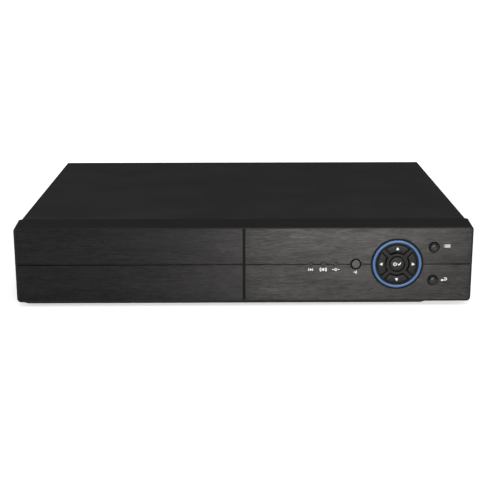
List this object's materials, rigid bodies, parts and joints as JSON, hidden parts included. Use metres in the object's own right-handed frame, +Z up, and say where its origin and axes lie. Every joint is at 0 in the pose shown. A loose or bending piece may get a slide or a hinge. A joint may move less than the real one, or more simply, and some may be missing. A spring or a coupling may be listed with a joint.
{
  "type": "dvr recorder",
  "caption": "Flat desktop video recorder with a brushed front, a lit direction pad, round side keys, a vented steel cover and rear sockets for cameras.",
  "frame": {"origin": "under the middle of the whole object, at the height of the feet's soles", "axes": "+X to the right seen from the front, +Y to the back, +Z up; the front faces -Y"},
  "size_m": [0.3, 0.242, 0.0532],
  "materials": {
    "contact_gold": "plated",
    "socket_black": "satin",
    "core_white": "satin",
    "socket_nickel": "plated",
    "chip_black": "matte",
    "header_white": "satin",
    "bright_screw": "zinc",
    "brass_post": "plated",
    "capacitor_sleeve": "satin",
    "black_screw": "black zinc",
    "zinc_sheet": "matte",
    "cell_steel": "polished",
    "pad_plastic": "satin",
    "fan_black": "satin",
    "brushed_fascia": "brushed, anodised",
    "bezel_plastic": "satin",
    "board_green": "satin",
    "led_white": "glossy",
    "drive_casting": "cast",
    "drive_steel": "satin",
    "socket_steel": "satin",
    "sink_aluminium": "anodised",
    "coil_grey": "matte",
    "dark_window": "glossy",
    "key_gloss": "glossy",
    "blue_guide": "glossy",
    "lead_grey": "satin",
    "foot_rubber": "matte",
    "clear_guide": "glossy",
    "case_paint": "matte",
    "vga_blue": "satin",
    "lead_red": "satin"
  },
  "bodies": {
    "recorder": {"bnc_contacts": "contact_gold", "bnc_housing": "socket_black", "bnc_insulators": "core_white", "bnc_shells": "socket_nickel", "board_chips": "chip_black", "board_headers": "header_white", "board_screws": "bright_screw", "board_standoffs": "brass_post", "cable_plugs": "header_white", "capacitors": "capacitor_sleeve", "case_screws": "black_screw", "chassis_tray": "zinc_sheet", "coin_cell": "cell_steel", "dc_jack_body": "socket_black", "dc_jack_pin": "socket_nickel", "dpad_frame": "pad_plastic", "fan_frame": "fan_black", "fascia_left": "brushed_fascia", "fascia_right": "brushed_fascia", "front_bezel": "bezel_plastic", "front_board": "board_green", "front_board_leds": "led_white", "hdd_casting": "drive_casting", "hdd_lid": "drive_steel", "hdd_screws": "bright_screw", "hdmi_socket": "socket_steel", "heat_sink": "sink_aluminium", "inductors": "coil_grey", "ir_receiver": "dark_window", "ir_window": "dark_window", "lan_socket": "socket_black", "light_ring": "blue_guide", "main_board": "board_green", "rca_housing": "core_white", "rca_sleeves": "socket_nickel", "ribbon_cable": "lead_grey", "rubber_feet": "foot_rubber", "status_light_pipes": "clear_guide", "switch_bodies": "chip_black", "top_cover": "case_paint", "usb_socket": "socket_steel", "vga_insert": "vga_blue", "vga_screwlocks": "socket_nickel", "vga_shell": "socket_steel", "wire_leads": "lead_red"},
    "fan_wheel": {"fan_rotor": "fan_black"},
    "up_button": {"key_up": "pad_plastic", "plunger_up": "chip_black"},
    "down_button": {"key_down": "pad_plastic", "plunger_down": "chip_black"},
    "left_button": {"key_left": "pad_plastic", "plunger_left": "chip_black"},
    "right_button": {"key_right": "pad_plastic", "plunger_right": "chip_black"},
    "ok_button": {"key_ok": "pad_plastic", "plunger_ok": "chip_black"},
    "menu_button": {"key_menu": "key_gloss", "plunger_menu": "chip_black"},
    "esc_button": {"key_esc": "key_gloss", "plunger_esc": "chip_black"}
  },
  "joints": [
    {"name": "up_press", "type": "slide", "parent": "recorder", "child": "up_button", "axis": [0, 1, 0], "range_m": [0, 0.0005], "stiffness_N_per_m": 400},
    {"name": "down_press", "type": "slide", "parent": "recorder", "child": "down_button", "axis": [0, 1, 0], "range_m": [0, 0.0005], "stiffness_N_per_m": 400},
    {"name": "left_press", "type": "slide", "parent": "recorder", "child": "left_button", "axis": [0, 1, 0], "range_m": [0, 0.0005], "stiffness_N_per_m": 400},
    {"name": "right_press", "type": "slide", "parent": "recorder", "child": "right_button", "axis": [0, 1, 0], "range_m": [0, 0.0005], "stiffness_N_per_m": 400},
    {"name": "ok_press", "type": "slide", "parent": "recorder", "child": "ok_button", "axis": [0, 1, 0], "range_m": [0, 0.0005], "stiffness_N_per_m": 400},
    {"name": "menu_press", "type": "slide", "parent": "recorder", "child": "menu_button", "axis": [0, 1, 0], "range_m": [0, 0.0005], "stiffness_N_per_m": 400},
    {"name": "esc_press", "type": "slide", "parent": "recorder", "child": "esc_button", "axis": [0, 1, 0], "range_m": [0, 0.0005], "stiffness_N_per_m": 400},
    {"name": "fan_spin", "type": "hinge", "parent": "recorder", "child": "fan_wheel", "pos_m": [0.099, 0.103, 0.0265], "axis": [0, 1, 0], "continuous": true}
  ]
}
